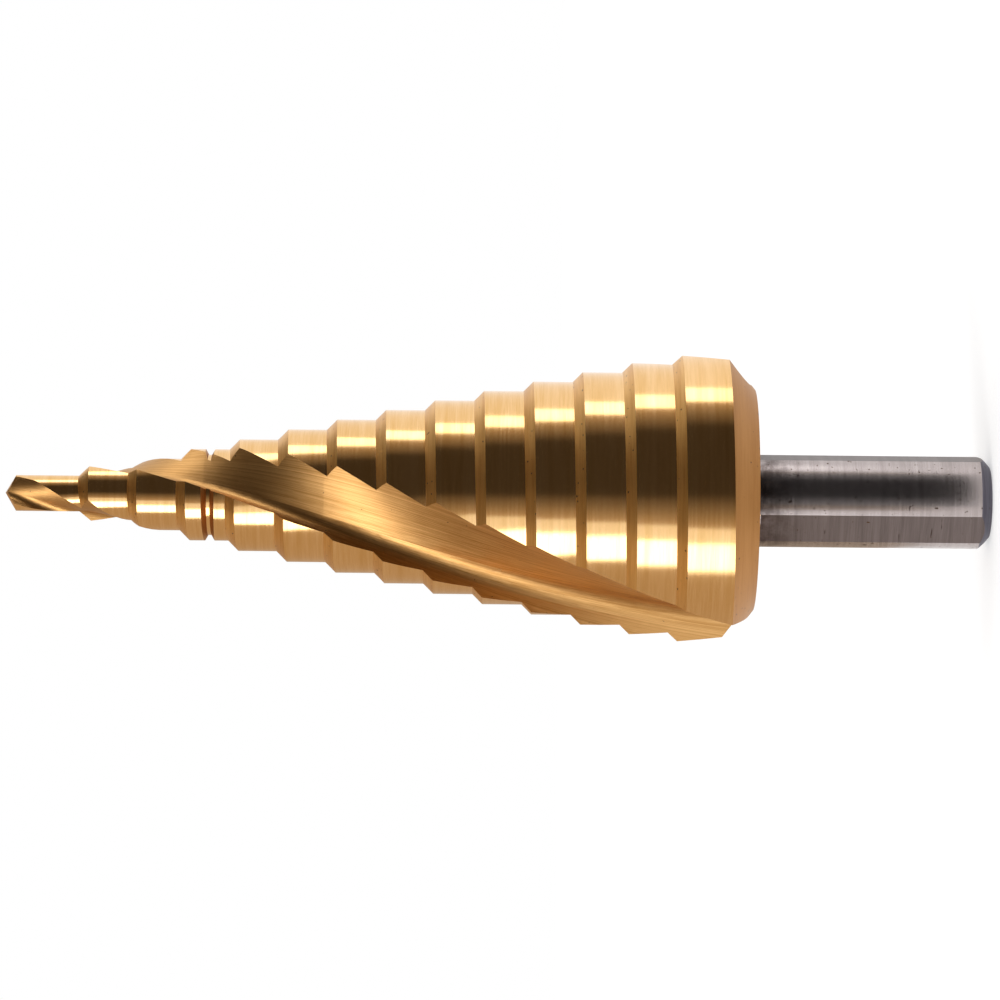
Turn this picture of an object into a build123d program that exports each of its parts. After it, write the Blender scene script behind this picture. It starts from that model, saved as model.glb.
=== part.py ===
# Step drill, one solid piece of hardened steel, in millimetres.
# It stands on its shank end: the axis is +Z, the point is up, and the origin
# is the centre of the shank's end face.
import os
from math import cos, degrees, log, radians, sin, tan

from build123d import *

os.makedirs("parts", exist_ok=True)

# Shank, round with three flats for the jaws of a chuck
shank_diameter = 9.6
shank_length = 24.2
shank_end_chamfer = 1.15
shank_end_crown = 0.06
flat_count = 3
flat_depth = 0.33
flat_clear_of_head = 0.5
flat_direction = -9.4

# Stepped head, each step wider than the one ahead of it
step_count = 13
first_step_diameter = 6.0
step_growth = 2.0
step_pitch = 5.06
last_land_length = 4.75
back_chamfer_length = 2.85
back_chamfer_depth = 3.6

# Pilot and its point, ahead of the first step
pilot_diameter = 3.7
pilot_length = 7.6
point_angle = 118.0

# Relief ground behind each cutting edge: each land turns about an axis
# set over towards its own cutting edge, and its front chamfer about one set further,
# but no further than a share of the step's radius
land_offset = 0.32
land_offset_share = 0.053
chamfer_offset = 0.57
chamfer_offset_share = 0.095

# Each front chamfer runs on inside the narrower step ahead of it
chamfer_run_on = 0.5

# Where the two lands of a step meet, hidden in the flute ahead of the cutting edge
split_ahead = 20.0
first_split_ahead = 40.0

# Ring groove round one of the steps
groove_step = 3
groove_setback = 2.27
groove_width = 1.33
groove_floor_width = 0.35
groove_depth = 0.85

# Two helical flutes, with sizes as shares of the cone's radius and a fixed part
# that makes them deeper and wider on the narrow steps, and most of all on the pilot
flute_count = 2
helix_angle = 20.1
last_edge_direction = 168.8
floor_share = 0.745
floor_setback = 0.53
pilot_web = 0.8
wall_lean = 20.5
heel_share = 0.97
heel_angle = 39.1
heel_width = 3.13
widest_heel_angle = 106.0
corner_share = 0.13
corner_least = 0.5
flute_overrun = 0.5
outside_share = 1.3
flute_stretches = 7
sections_per_stretch = 4

shank_radius = shank_diameter / 2
pilot_radius = pilot_diameter / 2
step_rise = step_growth / 2
last_radius = (first_step_diameter + (step_count - 1) * step_growth) / 2
last_front = shank_length + back_chamfer_length + last_land_length
first_front = last_front + (step_count - 1) * step_pitch
pilot_corner = first_front + pilot_length
point_height = pilot_radius / tan(radians(point_angle / 2))
tip = pilot_corner + point_height


def cone_radius(height):
    """Radius at a height of the plain cone through the steps' front corners."""
    return last_radius + (last_front - height) * step_rise / step_pitch


def cone_height(radius):
    """Height at which that cone has a given radius."""
    return last_front + (last_radius - radius) * step_pitch / step_rise


def edge_direction(radius):
    """Direction of the cutting edge, turning at a constant helix angle on the cone."""
    turn_per_log = degrees(tan(radians(helix_angle)) * step_pitch / step_rise)
    return last_edge_direction - turn_per_log * log(radius / last_radius)


def polar(radius, direction):
    """Point in a plane from its distance and direction."""
    return (radius * cos(radians(direction)), radius * sin(radians(direction)))


def half_space(edge, ahead):
    """Plane through the axis that faces the land behind a cutting edge."""
    return Plane(origin=(0, 0, 0), z_dir=(*polar(1, edge + ahead - 90), 0))


def relieved_land(radius, rise, front, bottom, edge, ahead):
    """One step's half behind one cutting edge, with its 45 degree front chamfer."""
    offset = min(land_offset, land_offset_share * radius)
    cone_offset = min(chamfer_offset, chamfer_offset_share * radius)
    length = front + rise + chamfer_run_on - bottom
    with BuildPart() as land:
        with BuildSketch(Plane.XY.offset(bottom)):
            with Locations(polar(offset, edge)):
                Circle(radius - offset)
        extrude(amount=length)
        with Locations((*polar(cone_offset, edge), bottom)):
            Cone(
                radius - cone_offset + front - bottom,
                radius - cone_offset - rise - chamfer_run_on,
                length,
                align=(Align.CENTER, Align.CENTER, Align.MIN),
                mode=Mode.INTERSECT,
            )
        split(bisect_by=half_space(edge, ahead), keep=Keep.TOP)
    return land.part


def flute_section(radius, edge):
    """Outline of a flute across the axis: rake face, rounded floor and back to the heel."""
    floor = max(floor_share * radius - floor_setback, pilot_web / 2)
    opening = min(heel_angle + degrees(heel_width / radius), widest_heel_angle)
    corner = corner_least + corner_share * radius
    lean = (-sin(radians(wall_lean)), cos(radians(wall_lean)))
    wall_foot = (floor + corner * (1 - lean[1]), corner * (1 + lean[0]))
    heel = heel_share * max(radius, pilot_radius)
    outside = (radius + step_rise) * outside_share
    plane = Plane((0, 0, cone_height(radius)), x_dir=(*polar(1, edge), 0), z_dir=(0, 0, 1))
    with BuildSketch(plane) as outline:
        with BuildLine():
            Line((outside, 0), (floor + corner, 0))
            TangentArc((floor + corner, 0), wall_foot, tangent=(-1, 0))
            TangentArc(wall_foot, polar(heel, opening), tangent=lean)
            Line(polar(heel, opening), polar(outside, opening))
            ThreePointArc(polar(outside, opening), polar(outside, opening / 2), (outside, 0))
        make_face()
    return outline.sketch


with BuildPart() as step_drill:
    # Shank, carried up into the head, with a slightly crowned chamfer round its end
    end_radius = shank_radius - shank_end_chamfer
    shank_top = shank_length + back_chamfer_length
    with BuildSketch(Plane.XZ):
        with BuildLine():
            Line((0, 0), (end_radius, 0))
            SagittaArc((end_radius, 0), (shank_radius, shank_end_chamfer), -shank_end_crown)
            Polyline((shank_radius, shank_end_chamfer), (shank_radius, shank_top), (0, shank_top), (0, 0))
        make_face()
    revolve(axis=Axis.Z)

    # Steps, from the widest to the narrowest
    for step in reversed(range(step_count)):
        radius = (first_step_diameter + step * step_growth) / 2
        front = cone_height(radius)
        bottom = shank_length
        if step < step_count - 1:
            bottom = front - step_pitch
        rise = step_rise
        ahead = split_ahead
        if step == 0:
            rise = radius - pilot_radius
            ahead = first_split_ahead
        middle_edge = edge_direction(radius + step_rise / 2)
        for turn in range(flute_count):
            edge = middle_edge + turn * 360 / flute_count
            add(relieved_land(radius, rise, front, bottom, edge, ahead))

    # Pilot and point
    with BuildSketch(Plane.XZ):
        with BuildLine():
            Polyline(
                (0, first_front - step_rise),
                (pilot_radius, first_front - step_rise),
                (pilot_radius, pilot_corner),
                (0, tip),
                close=True,
            )
        make_face()
    revolve(axis=Axis.Z)

    # Chamfer at the back of the head
    with BuildSketch(Plane.XZ):
        with BuildLine():
            Polyline(
                (last_radius - back_chamfer_depth, shank_length),
                (last_radius, shank_length + back_chamfer_length),
                (last_radius + step_rise, shank_length + back_chamfer_length),
                (last_radius + step_rise, shank_length),
                close=True,
            )
        make_face()
    revolve(axis=Axis.Z, mode=Mode.SUBTRACT)

    # Ring groove
    groove_radius = (first_step_diameter + (groove_step - 1) * step_growth) / 2
    groove_middle = cone_height(groove_radius) - groove_setback
    with BuildSketch(Plane.XZ):
        with BuildLine():
            Polyline(
                (groove_radius - groove_depth, groove_middle - groove_floor_width / 2),
                (groove_radius, groove_middle - groove_width / 2),
                (groove_radius + step_rise, groove_middle - groove_width / 2),
                (groove_radius + step_rise, groove_middle + groove_width / 2),
                (groove_radius, groove_middle + groove_width / 2),
                (groove_radius - groove_depth, groove_middle + groove_floor_width / 2),
                close=True,
            )
        make_face()
    revolve(axis=Axis.Z, mode=Mode.SUBTRACT)

    # Flats on the shank
    with BuildSketch(Plane.XY):
        with PolarLocations(shank_radius - flat_depth, flat_count, start_angle=flat_direction):
            Rectangle(shank_radius, shank_diameter, align=(Align.MIN, Align.CENTER))
    extrude(amount=shank_length - flat_clear_of_head, mode=Mode.SUBTRACT)

    # Helical flutes, each cut in short stretches that meet at a shared section
    widest = cone_radius(shank_length - flute_overrun)
    narrowest = cone_radius(tip + flute_overrun)
    last_section = flute_stretches * sections_per_stretch
    for turn in range(flute_count):
        for stretch in range(flute_stretches):
            outlines = []
            for section in range(sections_per_stretch + 1):
                share = (stretch * sections_per_stretch + section) / last_section
                radius = widest * (narrowest / widest) ** share
                edge = edge_direction(radius) + turn * 360 / flute_count
                outlines.append(flute_section(radius, edge))
            loft(outlines, mode=Mode.SUBTRACT)

step_drill.part.label = "step_drill"
export_step(step_drill.part, "parts/step_drill.step")
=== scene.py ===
from math import cos, radians, sin, tan

import bpy
from mathutils import Matrix, Vector

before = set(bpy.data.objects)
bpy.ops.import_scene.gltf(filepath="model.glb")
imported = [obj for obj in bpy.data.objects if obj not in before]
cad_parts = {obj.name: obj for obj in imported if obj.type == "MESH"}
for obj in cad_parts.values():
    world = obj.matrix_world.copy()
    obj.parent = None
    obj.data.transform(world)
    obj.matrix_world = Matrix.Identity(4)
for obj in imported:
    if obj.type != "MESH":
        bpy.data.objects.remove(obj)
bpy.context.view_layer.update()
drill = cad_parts["step_drill"]
scene = bpy.context.scene
scene.view_settings.view_transform = "Standard"
print("frame loaded")


# Small helpers for building node materials

def newMaterial(name):
    material = bpy.data.materials.new(name)
    material.use_nodes = True
    material.node_tree.nodes.clear()
    return material, material.node_tree


def addNode(tree, kind, **values):
    node = tree.nodes.new(kind)
    for key, value in values.items():
        setattr(node, key, value)
    return node


def setInputs(node, **values):
    for key, value in values.items():
        node.inputs[key.replace("_", " ")].default_value = value
    return node


def feed(tree, value, socket):
    if isinstance(value, tuple):
        socket.default_value = (*value, 1.0) if len(socket.default_value) == 4 else value
    elif isinstance(value, (int, float)):
        socket.default_value = value
    else:
        tree.links.new(value, socket)


def mathNode(tree, operation, first, second=0.0, third=0.0):
    node = addNode(tree, "ShaderNodeMath", operation=operation)
    for socket, value in zip(node.inputs, (first, second, third)):
        feed(tree, value, socket)
    return node.outputs[0]


def ramp(tree, factor, stops):
    node = addNode(tree, "ShaderNodeValToRGB")
    elements = node.color_ramp.elements
    while len(elements) < len(stops):
        elements.new(0.5)
    for element, (place, colour) in zip(elements, stops):
        element.position = place
        element.color = (*colour, 1.0)
    tree.links.new(factor, node.inputs["Fac"])
    return node.outputs["Color"]


def threshold(tree, factor, start, end):
    node = addNode(tree, "ShaderNodeMapRange", clamp=True)
    setInputs(node, From_Min=start, From_Max=end)
    tree.links.new(factor, node.inputs["Value"])
    return node.outputs[0]


def noise(tree, vector, scale, detail, roughness):
    node = addNode(tree, "ShaderNodeTexNoise")
    setInputs(node, Scale=scale, Detail=detail, Roughness=roughness)
    tree.links.new(vector, node.inputs["Vector"])
    return node.outputs["Fac"]


def stretched(tree, vector, scale):
    node = addNode(tree, "ShaderNodeMapping")
    node.inputs["Scale"].default_value = scale
    tree.links.new(vector, node.inputs["Vector"])
    return node.outputs["Vector"]


def separated(tree, vector):
    node = addNode(tree, "ShaderNodeSeparateXYZ")
    tree.links.new(vector, node.inputs[0])
    return node.outputs


def objectCoordinates(tree):
    return addNode(tree, "ShaderNodeTexCoord").outputs["Object"]


def mixColours(tree, factor, first, second):
    node = addNode(tree, "ShaderNodeMix", data_type="RGBA", blend_type="MIX")
    for socket, value in ((node.inputs[0], factor), (node.inputs[6], first), (node.inputs[7], second)):
        feed(tree, value, socket)
    return node.outputs[2]


def surfaceFrom(tree, shader):
    output = addNode(tree, "ShaderNodeOutputMaterial")
    tree.links.new(shader.outputs[0], output.inputs["Surface"])


# Lines left by the tools: turned round the axis, or ground along the flutes

grain = {
    "turnedRound": 260.0,       # cells to the metre round the axis
    "turnedAlong": 7000.0,      # cells to the metre along it
    "fluteAcross": 300.0,       # cells to the radian round the axis
    "fluteDeep": 200.0,         # cells across the radius
    "fluteAlong": 900.0,        # cells to the metre along the axis
    "coneRadius": 0.02128,      # radius where the cone of the steps meets the shank's end
    "coneTaper": 0.19763,
    "fluteTurn": 1.853,         # radians for each unit of the logarithm of the radius
    "naturalBase": 2.718282,
    "fine": {"scale": 1.0, "detail": 4.0, "roughness": 0.65},
    "broad": {"scale": 0.22, "detail": 2.0, "roughness": 0.5},
    "shadeEdges": (0.36, 0.62),     # height of the grain at the deep colour and at the light one
    "blurTurn": 0.25,               # turns the blur of a turned land along the axis
}


def turnedGrain(tree, place):
    around, along = grain["turnedRound"], grain["turnedAlong"]
    return stretched(tree, place, (around, around, along))


def fluteGrain(tree, place):
    x, y, z = separated(tree, place)
    across = grain["fluteAcross"]
    angle = mathNode(tree, "ARCTAN2", y, x)
    square = mathNode(tree, "MULTIPLY_ADD", x, x, mathNode(tree, "MULTIPLY", y, y))
    cone = mathNode(tree, "MULTIPLY_ADD", z, -grain["coneTaper"], grain["coneRadius"])
    depth = mathNode(tree, "DIVIDE", mathNode(tree, "SQRT", square), cone)
    growth = mathNode(tree, "LOGARITHM", cone, grain["naturalBase"])
    spiral = mathNode(tree, "MULTIPLY_ADD", growth, grain["fluteTurn"], angle)
    height = mathNode(tree, "MULTIPLY", z, grain["fluteAlong"])
    vector = addNode(tree, "ShaderNodeCombineXYZ")
    tree.links.new(mathNode(tree, "MULTIPLY", mathNode(tree, "COSINE", spiral), across), vector.inputs[0])
    tree.links.new(mathNode(tree, "MULTIPLY", mathNode(tree, "SINE", spiral), across), vector.inputs[1])
    tree.links.new(mathNode(tree, "MULTIPLY_ADD", depth, grain["fluteDeep"], height), vector.inputs[2])
    return vector.outputs[0]


# Pits everywhere but on the lands, scratches on the bare shank, and painted shade beside the head,
# broken into stain-like dark patches. Of two edges, the first is the noise where a mark begins and the second
# where it is full.

wear = {
    "pitColour": (0.10, 0.06, 0.04),
    "pitNoise": {"scale": 2600.0, "detail": 1.0, "roughness": 0.4},
    "pitSoft": 0.04,            # from where a pit begins to where it is full
    # colour of the painted shade beside the head, and of the scratches
    "shadeAndScratchColour": (0.07, 0.05, 0.045),
    "headShadeStart": 0.0185,       # height where the painted shade beside the head begins
    "headShadeEnd": 0.0245,
    "headShadePatchNoise": {"scale": 700.0, "detail": 4.0, "roughness": 0.7},
    "headShadePatchEdges": (0.72, 0.40),
    "scratchCells": (450.0, 450.0, 2400.0),     # cells to the metre, narrow along the axis
    "scratchNoise": {"scale": 1.0, "detail": 1.0, "roughness": 0.4},
    "scratchEdges": (0.27, 0.22),
}


def pitted(tree, place, colour, share):
    spots = noise(tree, place, **wear["pitNoise"])
    return mixColours(tree, threshold(tree, spots, share, share - wear["pitSoft"]), colour, wear["pitColour"])


# Darkens the steel in patches towards the head, as painted shade of the head, and lays scratches along the
# whole shank
def shadedAndScratched(tree, place, colour):
    near = threshold(tree, separated(tree, place)[2], wear["headShadeStart"], wear["headShadeEnd"])
    patches = threshold(tree, noise(tree, place, **wear["headShadePatchNoise"]), *wear["headShadePatchEdges"])
    amount = mathNode(tree, "MULTIPLY", near, patches)
    lines = noise(tree, stretched(tree, place, wear["scratchCells"]), **wear["scratchNoise"])
    amount = mathNode(tree, "MAXIMUM", amount, threshold(tree, lines, *wear["scratchEdges"]))
    return mixColours(tree, amount, colour, wear["shadeAndScratchColour"])


# Finishes of the hardened steel: titanium nitride on the head, bare on the shank. Bump is in
# metres, spread is how much the grain changes the roughness, and a higher pits gives more pits.

finishes = {
    "coatedLand": {
        "light": (0.95, 0.61, 0.29), "deep": (0.84, 0.50, 0.19), "pattern": turnedGrain,
        "roughness": 0.17, "spread": 0.14, "bump": 0.0000015, "anisotropy": 0.6,
    },
    "coatedChamfer": {
        "light": (0.86, 0.50, 0.17), "deep": (0.68, 0.34, 0.09), "pattern": turnedGrain,
        "roughness": 0.34, "spread": 0.12, "bump": 0.000003, "pits": 0.27,
    },
    "coatedFlute": {
        "light": (0.70, 0.41, 0.16), "deep": (0.40, 0.19, 0.05), "pattern": fluteGrain,
        "roughness": 0.40, "spread": 0.24, "bump": 0.000006, "pits": 0.22,
    },
    # The coating again at about half its brightness, as painted shade on the chamfer at the back of the head
    # and in the groove
    "coatedPaintedShade": {
        "light": (0.50, 0.245, 0.078), "deep": (0.42, 0.19, 0.054), "pattern": turnedGrain,
        "roughness": 0.46, "spread": 0.1, "bump": 0.000003, "pits": 0.25,
    },
    "bareShank": {
        "light": (0.50, 0.44, 0.43), "deep": (0.38, 0.33, 0.32), "pattern": turnedGrain,
        "roughness": 0.22, "spread": 0.1, "bump": 0.000001, "pits": 0.30, "shadedAndScratched": True,
    },
    "groundFlat": {
        "light": (0.19, 0.155, 0.15), "deep": (0.13, 0.105, 0.10), "pattern": turnedGrain,
        "roughness": 0.42, "spread": 0.1, "bump": 0.000003, "pits": 0.25, "shadedAndScratched": True,
    },
    "scaledEnd": {
        "light": (0.20, 0.19, 0.23), "deep": (0.11, 0.10, 0.12), "pattern": turnedGrain,
        "roughness": 0.5, "spread": 0.1, "bump": 0.000004, "pits": 0.27,
    },
}


def metal(name):
    finish = finishes[name]
    material, tree = newMaterial(name)
    place = objectCoordinates(tree)
    vector = finish["pattern"](tree, place)
    fine = noise(tree, vector, **grain["fine"])
    broad = noise(tree, vector, **grain["broad"])
    both = mathNode(tree, "MULTIPLY_ADD", fine, 0.5, mathNode(tree, "MULTIPLY", broad, 0.5))
    colour = mixColours(tree, threshold(tree, both, *grain["shadeEdges"]), finish["deep"], finish["light"])
    if "pits" in finish:
        colour = pitted(tree, place, colour, finish["pits"])
    # painted shade beside the head, with the scratches
    if "shadedAndScratched" in finish:
        colour = shadedAndScratched(tree, place, colour)
    shader = addNode(tree, "ShaderNodeBsdfPrincipled")
    setInputs(shader, Metallic=1.0)
    tree.links.new(colour, shader.inputs["Base Color"])
    lowest = finish["roughness"] - finish["spread"] / 2
    rough = mathNode(tree, "MULTIPLY_ADD", fine, finish["spread"], lowest)
    tree.links.new(rough, shader.inputs["Roughness"])
    if "anisotropy" in finish:
        setInputs(shader, Anisotropic=finish["anisotropy"], Anisotropic_Rotation=grain["blurTurn"])
        tangent = addNode(tree, "ShaderNodeTangent", direction_type="RADIAL", axis="Z")
        tree.links.new(tangent.outputs["Tangent"], shader.inputs["Tangent"])
    bump = addNode(tree, "ShaderNodeBump")
    setInputs(bump, Strength=1.0, Distance=finish["bump"])
    tree.links.new(both, bump.inputs["Height"])
    tree.links.new(bump.outputs["Normal"], shader.inputs["Normal"])
    surfaceFrom(tree, shader)
    return material


# Each face takes the finish of the cut that made it. Heights and distances are in metres,
# and slopes are the part of a face's normal that lies along the axis.

cuts = {
    "headStart": 0.0239,        # height where the bare shank meets the coated head
    "backTop": 0.0271,          # top of the chamfer at the back of the head
    "flatDistance": 0.00447,    # from the axis to each flat
    "flatDirections": (-9.4, 110.6, 230.6),
    "flatReach": 0.00002,       # how near its plane a face of a flat lies
    "flatMatch": 0.999,         # and how well it faces the same way
    "grooveBottom": 0.07946,
    "grooveTop": 0.0808,
    "turnedSlope": 0.03,        # a turned land has no slope along the axis
    "turnedOutwards": 0.95,     # and faces away from it
    "chamferSlope": 0.60,       # a chamfer leans well towards the point or the shank
    "endSlope": 0.99,           # the shank's end face looks straight down
}

flatNormals = [Vector((cos(radians(turn)), sin(radians(turn)), 0.0)) for turn in cuts["flatDirections"]]


def onFlat(face):
    return any(
        abs(face.center.dot(normal) - cuts["flatDistance"]) < cuts["flatReach"]
        and face.normal.dot(normal) > cuts["flatMatch"]
        for normal in flatNormals
    )


def finishOf(face):
    lean = face.normal.z
    height = face.center.z
    if height < cuts["headStart"]:
        if onFlat(face) or lean < -cuts["endSlope"]:
            return "groundFlat"
        return "scaledEnd" if lean < -cuts["turnedSlope"] else "bareShank"
    # The chamfer at the back of the head and the groove take the darker copy of the coating, as painted shade
    if height < cuts["backTop"] and lean < -cuts["chamferSlope"]:
        return "coatedPaintedShade"
    if abs(lean) > cuts["chamferSlope"]:
        return "coatedPaintedShade" if cuts["grooveBottom"] < height < cuts["grooveTop"] else "coatedChamfer"
    outwards = face.normal.dot(Vector((face.center.x, face.center.y, 0.0)).normalized())
    if abs(lean) < cuts["turnedSlope"] and outwards > cuts["turnedOutwards"]:
        return "coatedLand"
    return "coatedFlute"


drill.data.materials.clear()
for name in finishes:
    drill.data.materials.append(metal(name))
order = list(finishes)
for face in drill.data.polygons:
    face.material_index = order.index(finishOf(face))
print("finishes placed")

# A white studio with a pale floor, in metres

studio = {
    "floorSize": 6.0,
    "floorHeight": -0.00002,
    "floorColour": (0.60, 0.60, 0.60),
    "floorGlow": 0.42,          # seen by the camera and in reflections only
    "worldColour": (1, 1, 1, 1),
    "worldStrength": 1.0,
    "lampLength": 0.7,
    "lampDistance": 0.36,
    "lampHeight": 0.05,
}

bpy.ops.object.select_all(action="DESELECT")
bpy.ops.mesh.primitive_plane_add(size=studio["floorSize"], location=(0, 0, studio["floorHeight"]))
floor = bpy.context.object
floor.name = "floor"
material, tree = newMaterial("paleFloor")
diffuse = addNode(tree, "ShaderNodeBsdfDiffuse")
feed(tree, studio["floorColour"], diffuse.inputs["Color"])
rays = addNode(tree, "ShaderNodeLightPath").outputs
seen = mathNode(tree, "MAXIMUM", rays["Is Camera Ray"], rays["Is Glossy Ray"])
seen = mathNode(tree, "MAXIMUM", seen, rays["Is Transmission Ray"])
glow = addNode(tree, "ShaderNodeEmission")
feed(tree, mathNode(tree, "MULTIPLY", seen, studio["floorGlow"]), glow.inputs["Strength"])
both = addNode(tree, "ShaderNodeAddShader")
tree.links.new(diffuse.outputs[0], both.inputs[0])
tree.links.new(glow.outputs[0], both.inputs[1])
surfaceFrom(tree, both)
floor.data.materials.append(material)

world = bpy.data.worlds.new("whiteStudio")
scene.world = world
world.use_nodes = True
background = world.node_tree.nodes["Background"]
setInputs(background, Color=studio["worldColour"], Strength=studio["worldStrength"])
world.cycles.sampling_method = "NONE"  # so that no light of the world comes through the cards
print("floor and world ready")

# Three cards stand close round the drill and one hangs over its point. They glow as painted
# reflections and are seen only in the metal, where they hide the white studio and give the dark bands.
# Angles are counted round the drill's axis from the camera's side, upwards in the picture. Each card fades
# from its edge colour to its middle colour.

cards = {
    "front": {
        "angle": 26.0, "halfAngle": 48.0, "distance": 0.045, "top": 0.3,
        "middle": (0.05, 0.04, 0.03), "edge": (0.5, 0.4, 0.3),
    },
    "shank": {
        "angle": 28.0, "halfAngle": 38.0, "distance": 0.02, "top": 0.0235,
        "middle": (0.04, 0.04, 0.04), "edge": (0.3, 0.3, 0.3),
    },
    "below": {
        "angle": -120.0, "halfAngle": 58.0, "distance": 0.08, "top": 0.3,
        "middle": (0.5, 0.4, 0.3), "edge": (0.5, 0.4, 0.3),
    },
}

pointCard = {
    "width": 0.8,
    "depth": 0.6,
    "shift": 0.15,              # away from the camera
    "height": 0.45,
    "middle": (0.1, 0.08, 0.06),
    "edge": (0.8, 0.8, 0.8),
}

cardFade = 0.3                  # share of a card's width over which its edge colour fades


def paintedReflectionCard(name, colours, width, height, place, axes):
    bpy.ops.mesh.primitive_plane_add(size=1.0)
    card = bpy.context.object
    card.name = name + "Card"
    size = Matrix.Diagonal((width, height, 1.0, 1.0))
    card.matrix_world = Matrix.Translation(place) @ Matrix(axes).transposed().to_4x4() @ size
    material, tree = newMaterial(name)
    across = mathNode(tree, "ADD", separated(tree, objectCoordinates(tree))[0], 0.5)
    middle, edge = colours["middle"], colours["edge"]
    stops = ((0.0, edge), (cardFade, middle), (1.0 - cardFade, middle), (1.0, edge))
    glow = addNode(tree, "ShaderNodeEmission")
    tree.links.new(ramp(tree, across, stops), glow.inputs["Color"])
    surfaceFrom(tree, glow)
    card.data.materials.append(material)
    card.visible_camera = False
    card.visible_diffuse = False
    card.visible_shadow = False


def axesFacing(angle):
    out = Vector((sin(radians(angle)), -cos(radians(angle)), 0.0))
    up = Vector((0, 0, 1))
    return up.cross(out), up, out


for name, card in cards.items():
    axes = axesFacing(card["angle"])
    place = axes[2] * card["distance"] + Vector((0, 0, card["top"] / 2))
    width = 2 * card["distance"] * tan(radians(card["halfAngle"]))
    paintedReflectionCard(name, card, width, card["top"], place, axes)

level = (Vector((1, 0, 0)), Vector((0, 1, 0)), Vector((0, 0, 1)))
place = Vector((0, pointCard["shift"], pointCard["height"]))
paintedReflectionCard("point", pointCard, pointCard["width"], pointCard["depth"], place, level)
print("cards standing")

# Two softboxes, one over the drill and one under it in the picture

softboxes = {
    "top": {"angle": 88.0, "width": 0.10, "power": 0.40},
    "low": {"angle": -49.0, "width": 0.145, "power": 1.10},
}

for name, box in softboxes.items():
    lamp = bpy.data.lights.new(name + "Softbox", "AREA")
    lamp.shape = "RECTANGLE"
    lamp.size, lamp.size_y = box["width"], studio["lampLength"]
    lamp.energy = box["power"]
    holder = bpy.data.objects.new(name + "Softbox", lamp)
    scene.collection.objects.link(holder)
    axes = axesFacing(box["angle"])
    place = axes[2] * studio["lampDistance"] + Vector((0, 0, studio["lampHeight"]))
    holder.matrix_world = Matrix.Translation(place) @ Matrix(axes).transposed().to_4x4()
print("studio lit")

# The camera looks across the axis, rolled so that the point is on the left

view = {
    "lens": 147.2,
    "sensor": 36.0,
    "nearest": 0.01,
    "distance": 0.4212,
    "height": 0.0503,
    "below": 0.00024,
    "roll": 0.575,
}

camera = bpy.data.objects.new("camera", bpy.data.cameras.new("camera"))
scene.collection.objects.link(camera)
camera.data.lens = view["lens"]
camera.data.sensor_width = view["sensor"]
camera.data.clip_start = view["nearest"]
right, up, back = Vector((0, 0, -1)), Vector((1, 0, 0)), Vector((0, -1, 0))
turned = Matrix((right, up, back)).transposed().to_4x4() @ Matrix.Rotation(radians(view["roll"]), 4, "Z")
camera.matrix_world = Matrix.Translation((-view["below"], -view["distance"], view["height"])) @ turned
scene.camera = camera
print("camera set")
